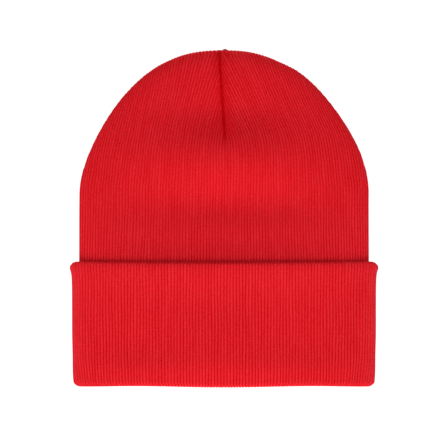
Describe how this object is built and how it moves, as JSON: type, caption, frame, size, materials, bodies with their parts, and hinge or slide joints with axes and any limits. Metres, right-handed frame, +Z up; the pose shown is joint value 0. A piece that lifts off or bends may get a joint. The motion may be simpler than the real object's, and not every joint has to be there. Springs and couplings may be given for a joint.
{
  "type": "cuffed beanie",
  "caption": "Cuffed rib-knit beanie without a pom pom, lying flat, with a lined crown closed by darts and a turned-up cuff.",
  "frame": {"origin": "on the surface that the hat lies on, under the middle of its outline", "axes": "+Z up from that surface, +Y from the cuff's fold towards the crown's tip, +X across the hat"},
  "size_m": [0.2126, 0.2352, 0.0278],
  "materials": {
    "knit": "matte fine 1x1 rib knit in red acrylic yarn",
    "thread": "spun red sewing thread",
    "label": "blank off-white woven tape"
  },
  "bodies": {
    "crown": {"crown_shell": "knit", "crown_lining": "knit", "shell_front_dart_seam": "thread", "shell_back_dart_seam": "thread", "shell_left_dart_seam": "thread", "shell_right_dart_seam": "thread", "lining_front_dart_seam": "thread", "lining_back_dart_seam": "thread", "lining_left_dart_seam": "thread", "lining_right_dart_seam": "thread", "crown_knot": "thread", "care_label": "label", "label_left_bar_tack": "thread", "label_right_bar_tack": "thread"},
    "cuff": {"cuff_face": "knit", "cuff_backing": "knit"}
  },
  "joints": [
    {"name": "cuff_turn_down", "type": "slide", "parent": "crown", "child": "cuff", "axis": [0, -1, 0], "range_m": [0, 0.076]}
  ]
}
